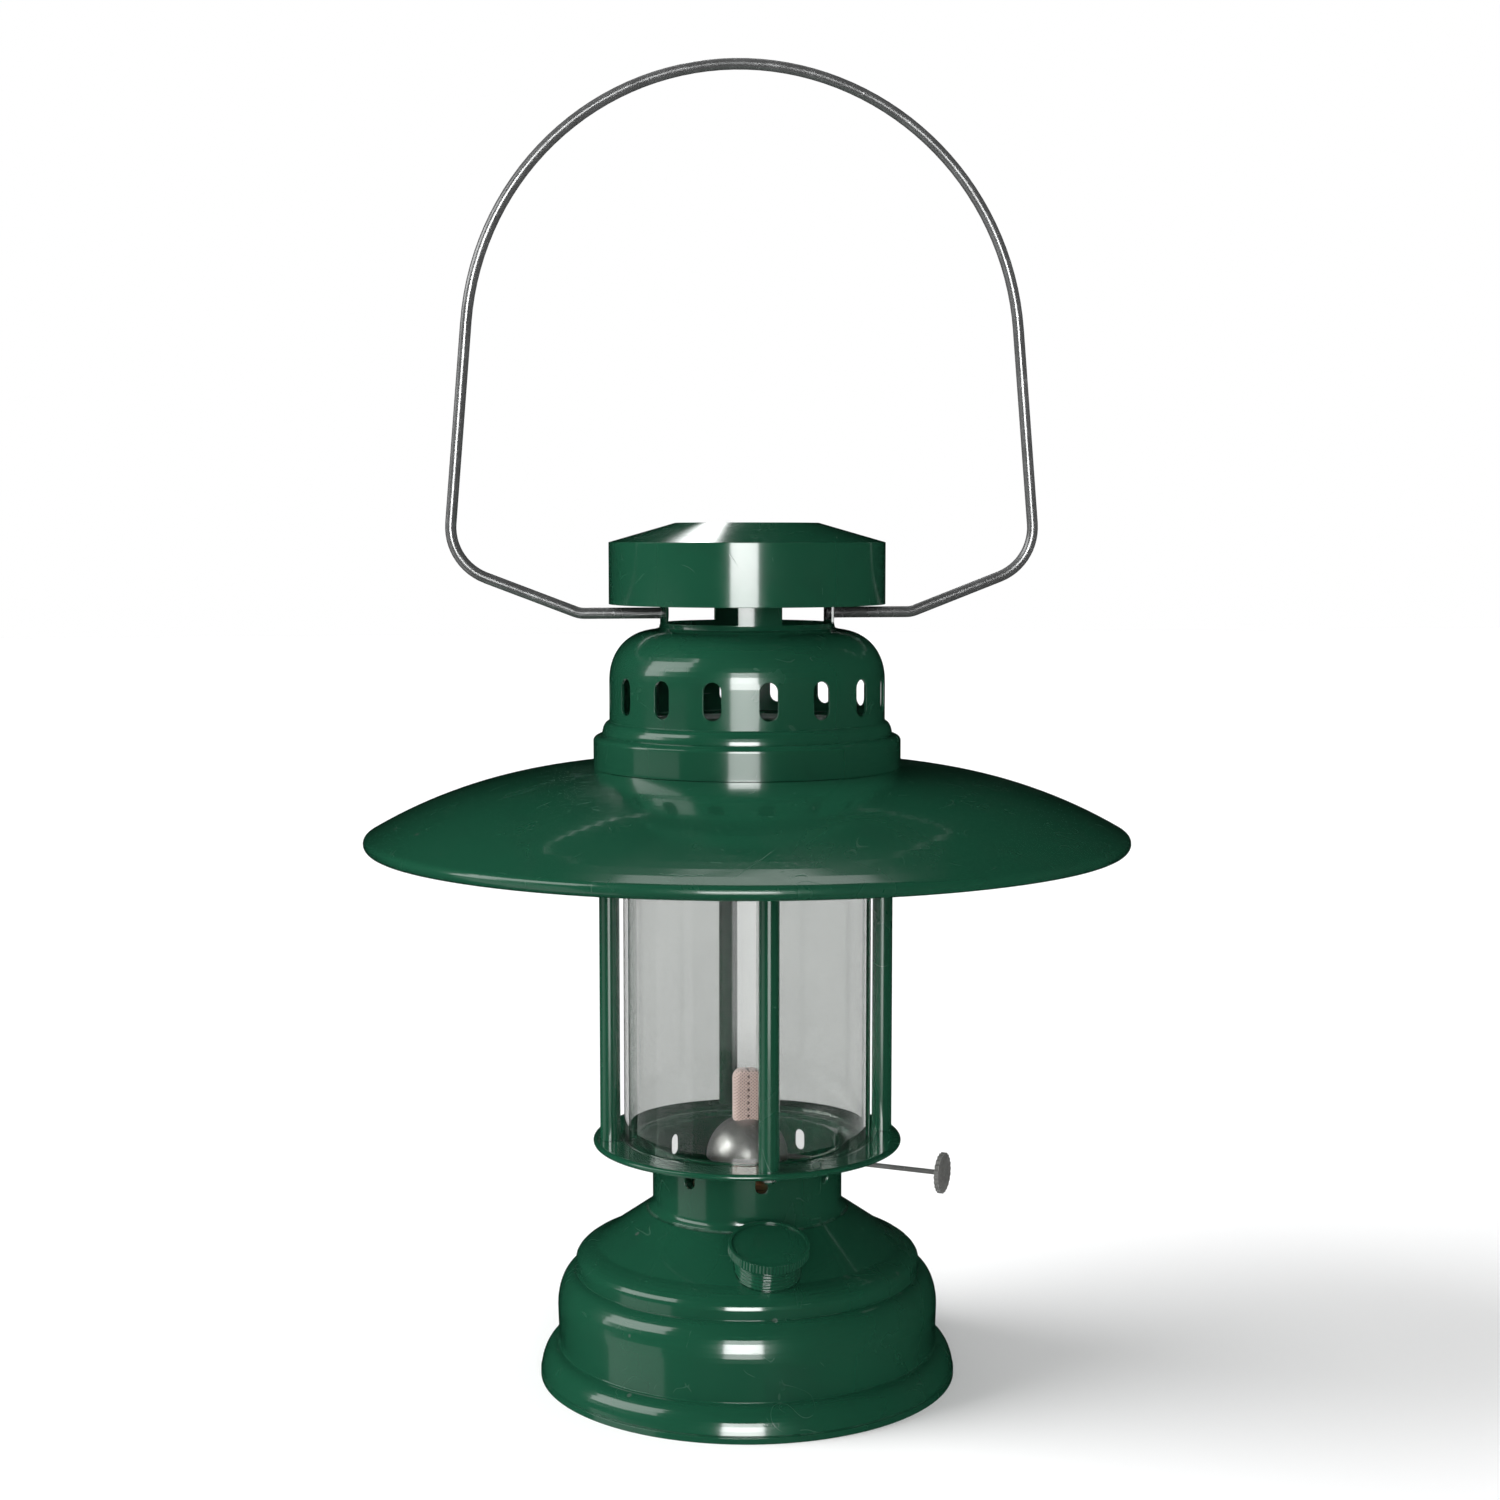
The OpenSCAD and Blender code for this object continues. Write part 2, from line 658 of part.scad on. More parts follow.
module bail_half() {
    head_r = 2.8;
    head_x = throat_r - crown_t - 1.6;
    // The side line touches the round top where it leans by side_lean
    side_top = [arch_top_r * cos(side_lean), arch_z + arch_top_r * sin(side_lean)];
    up = [-sin(side_lean), cos(side_lean)];
    out = [cos(foot_slope), sin(foot_slope)];
    knee = [run_end, pivot_z];
    // Corner where the sloping foot would meet the side line
    k = ((side_top[0] - knee[0]) * up[1] - (side_top[1] - knee[1]) * up[0])
        / (out[0] * up[1] - out[1] * up[0]);
    corner = knee + k * out;
    turn = 90 + side_lean - foot_slope;
    cut = corner_r * tan(turn / 2);
    corner_in = corner - cut * out;
    corner_out = corner + cut * up;
    corner_c = corner_in + corner_r * [-sin(foot_slope), cos(foot_slope)];
    elbow_cut = elbow_r * tan(foot_slope / 2);
    elbow_in = knee - [elbow_cut, 0];
    elbow_out = knee + elbow_cut * out;
    translate([head_x, 0, pivot_z]) rotate([0, 90, 0]) cylinder(r = head_r, h = 1, $fn = 32);
    wire_line([head_x, pivot_z], elbow_in);
    wire_arc(elbow_in[0], pivot_z + elbow_r, elbow_r, -90, foot_slope - 90);
    wire_line(elbow_out, corner_in);
    wire_arc(corner_c[0], corner_c[1], corner_r, foot_slope - 90, side_lean);
    wire_line(corner_out, side_top);
}

module bail() {
    color(STEEL) union() {
        bail_half();
        mirror([1, 0, 0]) bail_half();
        wire_arc(0, arch_z, arch_top_r, side_lean, 180 - side_lean);
    }
}

tank_shell();
tank_bottom();
neck();
filler_neck();
filler_gasket();
filler_cap();
burner_collar();
burner_gasket();
burner_base();
wick_tube();
winder_bracket();
burner_dome();
wick();
wick_shaft();
wick_wheels();
wick_knob();
shaft_bush();
globe_plate();
cage_rod(rod_angles[0]);  // rod_front
cage_rod(rod_angles[1]);  // rod_right
cage_rod(rod_angles[2]);  // rod_back
cage_rod(rod_angles[3]);  // rod_left
rod_nuts(plate_z - sheet - nut_h);  // rod_nuts_lower
rod_nuts(shade_z + sheet);  // rod_nuts_upper
globe_guide();
globe();
shade();
crown_base();
crown();
hood_collar();
hood();
bail();
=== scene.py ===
import bpy
import math
from mathutils import Matrix, Vector


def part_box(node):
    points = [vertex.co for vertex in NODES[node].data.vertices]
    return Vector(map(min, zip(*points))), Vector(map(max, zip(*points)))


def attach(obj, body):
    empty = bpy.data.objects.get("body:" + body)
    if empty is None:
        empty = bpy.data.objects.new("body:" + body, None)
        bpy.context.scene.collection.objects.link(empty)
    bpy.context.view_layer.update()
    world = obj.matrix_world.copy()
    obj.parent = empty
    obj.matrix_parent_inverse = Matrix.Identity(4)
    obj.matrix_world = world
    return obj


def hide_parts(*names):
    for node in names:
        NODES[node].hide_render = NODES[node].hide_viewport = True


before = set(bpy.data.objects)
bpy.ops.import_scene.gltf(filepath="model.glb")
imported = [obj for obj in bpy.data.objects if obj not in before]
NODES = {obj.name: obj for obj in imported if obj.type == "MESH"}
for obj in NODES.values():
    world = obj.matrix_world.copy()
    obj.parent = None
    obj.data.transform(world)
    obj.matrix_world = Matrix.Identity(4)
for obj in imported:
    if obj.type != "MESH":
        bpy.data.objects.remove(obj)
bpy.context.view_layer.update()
MM = 0.001

# ---------------------------------------------------------------- helpers


class Shader:
    """One node material, written as nested calls. Noise scales are in features per metre."""

    def __init__(self, name):
        self.material = bpy.data.materials.new(name)
        self.material.use_nodes = True
        self.nodes = self.material.node_tree.nodes
        self.links = self.material.node_tree.links
        self.surface = self.nodes["Principled BSDF"]
        self.place = self.node("TexCoord", out="Object")

    def node(self, kind, values=None, out=0, **settings):
        """A new node with these inputs, linked or constant, and its output out."""
        node = self.nodes.new("ShaderNode" + kind)
        for key, value in settings.items():
            setattr(node, key, value)
        for key, value in (values or {}).items():
            self.feed(node.inputs[key], value)
        return node.outputs[out]

    def feed(self, socket, value):
        if isinstance(value, bpy.types.NodeSocket):
            self.links.new(value, socket)
        else:
            socket.default_value = value

    def set(self, **values):
        for key, value in values.items():
            self.feed(self.surface.inputs[key.replace("_", " ")], value)

    def noise(self, scale, detail, distortion=0.0, place=None):
        return self.node("TexNoise", {"Vector": place or self.place, "Scale": scale, "Detail": detail,
                                      "Distortion": distortion}, out="Fac")

    def stretch(self, x, y, z):
        """The object's coordinates, scaled. A small scale draws a texture out along that axis."""
        return self.node("Mapping", {"Vector": self.place, "Scale": (x, y, z)})

    def math(self, operation, a, b=0.0):
        return self.node("Math", {0: a, 1: b}, operation=operation)

    def times(self, a, b):
        return self.math("MULTIPLY", a, b)

    def plus(self, a, b):
        return self.math("ADD", a, b)

    def ramp(self, value, low, high, start=0.0, end=1.0):
        """A smooth step from start, at low, to end, at high."""
        return self.node("MapRange", {"Value": value, "From Min": low, "From Max": high,
                                      "To Min": start, "To Max": end}, clamp=True,
                         interpolation_type="SMOOTHSTEP")

    def blend(self, share, a, b):
        """Colour a where share is 0 and colour b where it is 1."""
        node = self.nodes.new("ShaderNodeMix")
        node.data_type = "RGBA"
        self.feed(node.inputs["Factor"], share)
        self.feed(node.inputs["A"], a)
        self.feed(node.inputs["B"], b)
        return node.outputs["Result"]

    def bump(self, height, strength, distance, normal=None):
        values = {"Height": height, "Strength": strength, "Distance": distance}
        if normal is not None:
            values["Normal"] = normal
        return self.node("Bump", values)

    def lines(self, scale, width, distortion):
        """Thin curved lines, where a smooth noise crosses its middle value."""
        height = self.noise(scale, 0.0, distortion)
        return self.ramp(self.math("ABSOLUTE", self.math("SUBTRACT", height, 0.5)), 0.0, width, 1.0, 0.0)

    def soft_edges(self, radius):
        """The normal of a surface whose edges are rounded."""
        return self.node("Bevel", {"Radius": radius}, samples=4)

    def edge_share(self, rounded, low, high):
        """0 on open surfaces, 1 on an edge."""
        true_normal = self.node("NewGeometry", out="Normal")
        dot = self.node("VectorMath", {0: rounded, 1: true_normal}, operation="DOT_PRODUCT", out="Value")
        return self.ramp(self.math("SUBTRACT", 1.0, dot), low, high)


def rgb(r, g, b):
    return (r, g, b, 1.0)


def dress(material, *names):
    """Gives CAD nodes their material."""
    for name in names:
        mesh = NODES[name].data
        mesh.materials.clear()
        mesh.materials.append(material)


def make_piece(name, vertices, faces, material, body, replaced, crease):
    """A mesh that rides on a body instead of a CAD node, smooth below the crease angle in degrees."""
    mesh = bpy.data.meshes.new(name)
    mesh.from_pydata(vertices, [], faces)
    mesh.update()
    mesh.materials.append(material)
    mesh.shade_smooth()
    mesh.set_sharp_from_angle(angle=math.radians(crease))
    piece = bpy.data.objects.new(name, mesh)
    bpy.context.scene.collection.objects.link(piece)
    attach(piece, body)
    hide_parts(replaced)
    return piece


def ring_grid(rings, joined=True):
    """Vertices and faces of a grid of equal closed rings. Joined means that the last ring meets the first one."""
    count = len(rings[0])
    vertices = [point for ring in rings for point in ring]
    faces = []
    for i in range(len(rings) if joined else len(rings) - 1):
        lower = i * count
        upper = (i + 1) % len(rings) * count
        for j in range(count):
            k = (j + 1) % count
            faces.append((lower + j, lower + k, upper + k, upper + j))
    return vertices, faces


def turned(profile, steps):
    """Rings for a closed profile of (radius, height) points, turned about the Z axis."""
    return [[(r * math.cos(2 * math.pi * j / steps), r * math.sin(2 * math.pi * j / steps), z)
             for j in range(steps)] for r, z in profile]


# ---------------------------------------------------------------- materials


def enamel(name, edge_radius):
    """Glossy dark green stove enamel: a thin orange peel, hairline scratches, small chips, and worn edges painted
    paler, which is partly a painted edge highlight.
    """
    s = Shader(name)
    # Colour: two close greens, darker grime, and paler marks where it is scratched or chipped and along the edges,
    # where the paler colour is partly wear and partly a painted edge highlight.
    base = s.blend(s.noise(14.0, 3.0), rgb(0.0066, 0.050, 0.0265), rgb(0.0078, 0.058, 0.0305))
    grime = s.ramp(s.noise(55.0, 6.0, 0.6), 0.52, 0.72, 0.0, 0.22)
    base = s.blend(grime, base, rgb(0.0075, 0.036, 0.022))
    patch = s.ramp(s.noise(48.0, 2.0), 0.60, 0.70)
    long_hair = s.times(s.lines(26.0, 0.0035, 1.2), patch)
    short_patch = s.ramp(s.noise(95.0, 1.0, 0.0, s.stretch(1.0, 1.0, 1.7)), 0.63, 0.70)
    short_hair = s.times(s.lines(150.0, 0.022, 0.4), short_patch)
    hairs = s.math("MAXIMUM", long_hair, s.times(short_hair, 0.45))
    rounded = s.soft_edges(edge_radius)
    # Paler edges broken up by noise: partly edge wear, partly a painted highlight along the edges.
    edge_wear_and_highlight = s.times(s.edge_share(rounded, 0.02, 0.30), s.ramp(s.noise(130.0, 5.0), 0.42, 0.62))
    base = s.blend(s.times(hairs, 0.20), base, rgb(0.085, 0.16, 0.12))
    base = s.blend(s.times(edge_wear_and_highlight, 0.42), base, rgb(0.075, 0.14, 0.105))
    chip_cells = {"Vector": s.place, "Scale": 150.0}
    cell = s.node("TexVoronoi", chip_cells, out="Distance")
    lot = s.node("TexVoronoi", chip_cells, out="Color")
    rare = s.ramp(s.node("SeparateColor", {"Color": lot}, out="Red"), 0.955, 0.965)
    chip = s.times(s.ramp(cell, 0.10, 0.16, 1.0, 0.0), rare)
    base = s.blend(s.times(chip, 0.7), base, rgb(0.06, 0.085, 0.07))
    # Gloss: smears, and dull scratches and edges.
    smear = s.ramp(s.noise(30.0, 5.0, 1.0, s.stretch(1.0, 1.0, 0.5)), 0.35, 0.75, 0.16, 0.30)
    rough = s.plus(smear, s.times(s.math("MAXIMUM", hairs, edge_wear_and_highlight), 0.30))
    # Relief: peel, scratches, chips, pits and shallow dents.
    peel = s.noise(420.0, 2.0)
    pits = s.ramp(s.noise(900.0, 3.0), 0.60, 0.75)
    dents = s.noise(24.0, 1.0)
    height = s.plus(s.times(peel, 0.06), s.times(hairs, -0.35))
    height = s.plus(height, s.times(chip, -2.0))
    height = s.plus(height, s.times(s.times(pits, patch), -0.35))
    height = s.plus(height, s.times(dents, 0.3))
    normal = s.bump(height, 0.55, 0.08 * MM, rounded)
    s.set(Base_Color=base, Roughness=rough, Normal=normal, Coat_Normal=normal)
    s.set(Specular_IOR_Level=0.40, Coat_Weight=1.0, Coat_Roughness=0.07, Coat_IOR=1.5)
    return s.material


def steel(name, dark, light, grain, rough, spots, metal=1.0, relief=0.5):
    """Bare steel: draw lines along the grain, dull spots, fine scratches, and edges painted paler as worn metal and
    a painted edge highlight. rough is its least and most.
    """
    s = Shader(name)
    streak = s.noise(900.0, 4.0, 0.0, s.stretch(*grain))
    cloud = s.noise(110.0, 5.0, 0.6)
    base = s.blend(s.ramp(cloud, 0.35, 0.70), rgb(*dark), rgb(*light))
    rust = s.ramp(s.noise(260.0, 6.0, 0.4), 0.66, 0.78, 0.0, spots)
    base = s.blend(rust, base, rgb(0.12, 0.085, 0.06))
    hair = s.times(s.lines(240.0, 0.02, 0.8), s.ramp(s.noise(120.0, 2.0), 0.5, 0.62))
    base = s.blend(s.times(hair, 0.5), base, rgb(0.72, 0.72, 0.72))
    rounded = s.soft_edges(0.25 * MM)
    edge = s.edge_share(rounded, 0.02, 0.25)
    # Every rounded edge is painted paler: worn metal and a painted edge highlight.
    base = s.blend(s.times(edge, 0.6), base, rgb(0.75, 0.75, 0.74))
    dull = s.plus(s.ramp(streak, 0.3, 0.7, *rough), s.times(rust, 0.4))
    height = s.plus(s.times(streak, 0.25), s.times(rust, -0.7))
    height = s.plus(height, s.times(hair, -0.4))
    s.set(Base_Color=base, Roughness=dull, Normal=s.bump(height, relief, 0.05 * MM, rounded))
    s.set(Metallic=metal)
    return s.material


def brass():
    """Old brass with darker, duller patches, and edges painted paler as worn metal and a painted edge highlight."""
    s = Shader("aged_brass")
    cloud = s.noise(160.0, 6.0, 0.8)
    base = s.blend(s.ramp(cloud, 0.38, 0.66), rgb(0.52, 0.33, 0.20), rgb(0.24, 0.14, 0.09))
    hair = s.times(s.lines(300.0, 0.03, 0.5), s.ramp(s.noise(140.0, 1.0), 0.5, 0.6))
    base = s.blend(s.times(hair, 0.4), base, rgb(0.75, 0.55, 0.36))
    rounded = s.soft_edges(0.2 * MM)
    edge = s.edge_share(rounded, 0.02, 0.25)
    # Every rounded edge is painted paler: worn metal and a painted edge highlight.
    base = s.blend(s.times(edge, 0.5), base, rgb(0.80, 0.60, 0.40))
    height = s.plus(s.times(cloud, 0.4), s.times(hair, -0.4))
    s.set(Base_Color=base, Roughness=s.ramp(cloud, 0.3, 0.7, 0.30, 0.55))
    s.set(Normal=s.bump(height, 0.4, 0.06 * MM, rounded), Metallic=1.0)
    return s.material


def cork():
    """Pressed cork: grains of several browns with small pores."""
    s = Shader("pressed_cork")
    grain = s.node("TexVoronoi", {"Vector": s.place, "Scale": 900.0}, out="Color")
    tone = s.node("SeparateColor", {"Color": grain}, out="Red")
    base = s.blend(tone, rgb(0.20, 0.11, 0.055), rgb(0.42, 0.27, 0.15))
    pore = s.ramp(s.noise(1500.0, 3.0), 0.58, 0.70)
    base = s.blend(pore, base, rgb(0.06, 0.035, 0.02))
    height = s.math("SUBTRACT", s.times(tone, 0.5), pore)
    s.set(Base_Color=base, Roughness=s.ramp(tone, 0.0, 1.0, 0.75, 0.95), Normal=s.bump(height, 0.7, 0.1 * MM))
    return s.material


def cotton(dry_z):
    """Woven lamp wick: the yarn's colour varies, the holes and the low parts of the weave are painted in shade, and
    below the height dry_z it is soaked.
    """
    s = Shader("wick_cotton")
    fleck = s.noise(2600.0, 4.0)
    base = s.blend(fleck, rgb(0.62, 0.415, 0.375), rgb(0.93, 0.725, 0.675))
    raised = s.node("Attribute", attribute_name="weave", out="Fac")
    # Painted shade: the holes and the low parts of the weave are painted dark.
    base = s.blend(s.ramp(raised, 0.0, 0.60, 0.92, 0.0), base, rgb(0.10, 0.048, 0.045))
    height_z = s.node("SeparateXYZ", {"Vector": s.place}, out="Z")
    soaked = s.ramp(height_z, dry_z - 12 * MM, dry_z, 0.55, 0.0)
    base = s.blend(soaked, base, rgb(0.22, 0.14, 0.09))
    fibre = s.noise(1800.0, 3.0, 0.0, s.stretch(1.0, 1.0, 4.0))
    s.set(Base_Color=base, Roughness=s.ramp(fleck, 0.2, 0.8, 0.82, 0.98))
    s.set(Normal=s.bump(fibre, 0.5, 0.12 * MM), Sheen_Weight=0.35, Sheen_Roughness=0.5)
    return s.material


def glass():
    """Clear lamp glass with a faint grey tint and light wiping marks, which lets the lamps' light through."""
    s = Shader("globe_glass")
    wipe = s.noise(28.0, 5.0, 1.6, s.stretch(1.0, 1.0, 0.45))
    rough = s.ramp(wipe, 0.50, 0.78, 0.004, 0.035)
    tint = s.blend(s.ramp(s.noise(22.0, 3.0), 0.35, 0.7), rgb(0.635, 0.646, 0.635), rgb(0.652, 0.664, 0.652))
    wave = s.noise(9.0, 1.0, 0.0, s.stretch(1.0, 1.0, 0.4))
    s.set(Base_Color=tint, Roughness=rough, Normal=s.bump(wave, 0.12, 0.3 * MM))
    s.set(Transmission_Weight=1.0, IOR=1.45, Specular_IOR_Level=0.22)
    clear = s.node("BsdfTransparent", {"Color": rgb(0.90, 0.91, 0.90)})
    to_lamp = s.node("LightPath", out="Is Shadow Ray")
    mixed = s.node("MixShader", {0: to_lamp, 1: s.surface.outputs[0], 2: clear})
    s.links.new(mixed, s.nodes["Material Output"].inputs["Surface"])
    return s.material


ENAMEL = enamel("green_enamel", 0.4 * MM)
FINE_ENAMEL = enamel("green_enamel_fine", 0.09 * MM)  # for the thread and the knurls
WIRE = steel("bail_steel", dark=(0.20, 0.203, 0.203), light=(0.255, 0.26, 0.26), grain=(0.25, 0.25, 0.12),
             rough=(0.20, 0.30), spots=0.15, metal=0.70, relief=0.12)
KNOB = steel("knob_steel", dark=(0.16, 0.162, 0.155), light=(0.235, 0.235, 0.225), grain=(1.0, 0.3, 1.0),
             rough=(0.28, 0.46), spots=0.25, metal=0.30)
DOME = steel("burner_steel", dark=(0.36, 0.35, 0.345), light=(0.50, 0.49, 0.48), grain=(1.0, 1.0, 0.25),
             rough=(0.34, 0.44), spots=0.15, metal=0.90)
NUTS = steel("nut_steel", dark=(0.42, 0.42, 0.40), light=(0.56, 0.56, 0.54), grain=(1.0, 1.0, 0.3),
             rough=(0.22, 0.36), spots=0.35)
BRASS = brass()
CORK = cork()
GLASS = glass()

dress(ENAMEL, "tank_shell", "tank_bottom", "neck", "globe_plate", "rod_front", "rod_right", "rod_back", "rod_left",
      "globe_guide", "shade", "crown_base", "crown", "hood_collar", "hood")
dress(FINE_ENAMEL, "filler_neck", "filler_cap")
dress(WIRE, "bail")
dress(KNOB, "wick_shaft", "wick_knob")
dress(DOME, "burner_dome")
dress(NUTS, "rod_nuts_lower", "rod_nuts_upper")
dress(BRASS, "burner_collar", "burner_base", "wick_tube", "winder_bracket", "wick_wheels", "shaft_bush")
dress(CORK, "filler_gasket", "burner_gasket")

# ---------------------------------------------------------------- the globe, with fire-polished ends


def make_globe():
    low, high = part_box("globe")
    outer = high.x
    wall = 2.0 * MM
    inner = outer - wall
    lip = wall / 2
    hold = lip + 0.3 * MM  # keeps the long walls straight beside the rounded ends

    def rounded_end(centre_z, first_angle):
        angles = [math.radians(first_angle + step) for step in range(0, 181, 20)]
        return [(inner + lip + lip * math.cos(a), centre_z + lip * math.sin(a)) for a in angles]

    profile = rounded_end(high.z - lip, 0)
    profile += [(inner, high.z - hold), (inner, low.z + hold)]
    profile += rounded_end(low.z + lip, 180)
    profile += [(outer, low.z + hold), (outer, high.z - hold)]
    vertices, faces = ring_grid(turned(profile, 256))
    make_piece("globe_glass", vertices, faces, GLASS, "glass", "globe", 60)


make_globe()

# ---------------------------------------------------------------- the wick, woven


WICK_YARN = 0.62 * MM  # width of a column of the weave
WICK_PICK = 0.55 * MM  # height of a row of the weave
WICK_STITCH = 2.3 * MM  # from one hole to the next
WICK_HOLE = (0.42 * MM, 0.55 * MM)  # half the width and half the height of a hole
WICK_HOLE_DEPTH = 0.55 * MM


def weave(x, z, side):
    """How far the yarn is raised, as a share, and how deep a hole is, as a share. side is 1 in front, -1 behind."""
    over = math.sin(math.pi * x / WICK_YARN) * math.sin(math.pi * z / WICK_PICK)
    rib = abs(math.cos(math.pi * x / WICK_YARN)) * 0.5 + abs(math.cos(math.pi * z / WICK_PICK)) * 0.5
    raised = 0.5 + 0.35 * over * side + 0.3 * (rib - 0.6)
    across = x / WICK_HOLE[0]
    along = (z / WICK_STITCH % 1.0 - 0.5) * WICK_STITCH / WICK_HOLE[1]
    return raised, math.exp(-(across ** 2 + along ** 2) ** 2)


def make_wick():
    """A strip with rounded upper corners and a rounded tip. It fills the straight box round the CAD wick, so it is
    thicker than that wick, which is thin and turned, and it cuts the pieces round it."""
    low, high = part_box("wick")
    width = high.x - low.x
    thick = high.y - low.y
    corner = 3.2 * MM
    tip = 0.6 * MM
    proud = 0.10 * MM
    edge = 0.12 * MM
    edge_thick = 0.42  # share of the thickness that is left at the sides
    columns = 56
    sides = 8
    rows = 640
    rings = []
    marks = []
    for i in range(rows + 1):
        z = low.z + (high.z - low.z) * i / rows
        from_top = high.z - z
        half = width / 2
        if from_top < corner:
            half -= corner - math.sqrt(max(0.0, corner ** 2 - (corner - from_top) ** 2))
        half_thick = thick / 2 - proud
        if from_top < tip:
            half_thick *= math.sqrt(max(0.05, 1 - (1 - from_top / tip) ** 2))
        ring = []
        for side in (1, -1):
            for k in range(columns):
                x = side * (2 * half * (k + 0.5) / columns - half)
                raised, hole = weave(x, z, side)
                bulge = half_thick * math.sqrt(max(0.0, 1 - (x / (half * 1.02)) ** 6))
                ring.append((x, -side * (bulge + proud * raised - WICK_HOLE_DEPTH * hole), z))
                # This value drives the painted shade in the cotton: holes and low yarn come out dark.
                marks.append(raised * (1 - hole))
            for k in range(1, sides):
                t = math.pi * k / sides - side * math.pi / 2
                ring.append((side * (half - edge) + edge * math.cos(t), half_thick * edge_thick * math.sin(t), z))
                marks.append(0.5)
        rings.append(ring)
    vertices, faces = ring_grid(rings, joined=False)
    count = len(rings[0])
    faces.append(tuple(reversed(range(count))))
    faces.append(tuple(range(rows * count, (rows + 1) * count)))
    material = cotton(dry_z=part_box("wick_tube")[1].z + 2 * MM)
    piece = make_piece("wick_braid", vertices, faces, material, "wick_strip", "wick", 80)
    piece.data.attributes.new("weave", "FLOAT", "POINT").data.foreach_set("value", marks)


make_wick()

# ---------------------------------------------------------------- the filler neck, with its thread


def make_filler_thread():
    """A spout with one rolled right-hand thread that runs out at both ends."""
    centre = Vector((0.0, -48.5, 58.9)) * MM
    tilt = Matrix.Rotation(math.radians(17.0), 3, "X")
    bore = 9.2 * MM
    chamfer = 0.2 * MM
    root = 10.75 * MM
    crest = 11.28 * MM
    pitch = 1.3 * MM
    start = -15.0 * MM
    end = -2.1 * MM
    run_out = 1.5 * MM
    steps = 128
    rows = 160
    rings = []
    for i in range(rows + 1):
        s = start + (end - start) * i / rows
        fade = max(0.0, min(1.0, (s - start) / run_out, (end - s) / run_out))
        ring = []
        for j in range(steps):
            angle = 2 * math.pi * j / steps
            ridge = 0.5 + 0.5 * math.cos(2 * math.pi * s / pitch - angle)
            r = root + (crest - root) * ridge * fade
            ring.append((r * math.cos(angle), r * math.sin(angle), s))
        rings.append(ring)
    rings += turned([(bore + chamfer, end), (bore, end - chamfer), (bore, start + chamfer), (bore + chamfer, start)],
                    steps)
    rings = [[centre + tilt @ Vector(point) for point in ring] for ring in rings]
    vertices, faces = ring_grid(rings)
    make_piece("filler_thread", vertices, faces, FINE_ENAMEL, "lantern", "filler_neck", 50)


make_filler_thread()

# ---------------------------------------------------------------- floor, light and camera


def turn_about_z(degrees):
    """A direction on the floor, at so many degrees anticlockwise from -Y seen from above."""
    a = math.radians(degrees)
    return Vector((math.sin(a), -math.cos(a), 0.0))


CAMERA_AZIMUTH = -8.7
CAMERA_DISTANCE = 0.806
CAMERA_HEIGHT = 0.29225
CAMERA_PITCH = 5.25
CAMERA_SIDE = 1 * MM
FOCAL_PIXELS = 2350.0
IMAGE_PIXELS = 1500.0
SENSOR_WIDTH = 36.0  # in millimetres, as the camera takes it


def make_camera():
    data = bpy.data.cameras.new("camera")
    data.sensor_width = SENSOR_WIDTH
    data.lens = SENSOR_WIDTH * FOCAL_PIXELS / IMAGE_PIXELS
    data.clip_start = 0.01
    camera = bpy.data.objects.new("camera", data)
    bpy.context.scene.collection.objects.link(camera)
    away = turn_about_z(CAMERA_AZIMUTH)
    right = Vector((-away.y, away.x, 0.0))
    camera.location = away * CAMERA_DISTANCE + right * CAMERA_SIDE + Vector((0, 0, CAMERA_HEIGHT))
    pitch = math.radians(CAMERA_PITCH)
    look = -away * math.cos(pitch) - Vector((0, 0, math.sin(pitch)))
    camera.rotation_euler = look.to_track_quat("-Z", "Y").to_euler()
    bpy.context.scene.camera = camera


def make_floor():
    """A white floor that glows a little, so that it runs into the white behind it."""
    s = Shader("studio_floor")
    speck = s.noise(6.0, 4.0)
    s.set(Base_Color=s.blend(speck, rgb(0.93, 0.935, 0.94), rgb(0.95, 0.95, 0.95)))
    s.set(Roughness=s.ramp(speck, 0.3, 0.7, 0.85, 0.95), Specular_IOR_Level=0.0)
    s.set(Emission_Color=rgb(1.0, 1.0, 1.0), Emission_Strength=0.08)
    size = 6.0
    mesh = bpy.data.meshes.new("floor")
    mesh.from_pydata([(-size, -size, 0), (size, -size, 0), (size, size, 0), (-size, size, 0)], [], [(0, 1, 2, 3)])
    mesh.materials.append(s.material)
    floor = bpy.data.objects.new("floor", mesh)
    bpy.context.scene.collection.objects.link(floor)
    floor.visible_glossy = False


def soft_light(name, azimuth, elevation, spread, strength):
    """Even light from far away, with soft shadows, that leaves no mirror image of itself."""
    data = bpy.data.lights.new(name, "SUN")
    data.angle = math.radians(spread)
    data.energy = strength
    lamp = bpy.data.objects.new(name, data)
    bpy.context.scene.collection.objects.link(lamp)
    lift = math.radians(elevation)
    away = turn_about_z(CAMERA_AZIMUTH + azimuth) * math.cos(lift) + Vector((0, 0, math.sin(lift)))
    lamp.rotation_euler = away.to_track_quat("Z", "Y").to_euler()
    lamp.visible_glossy = False


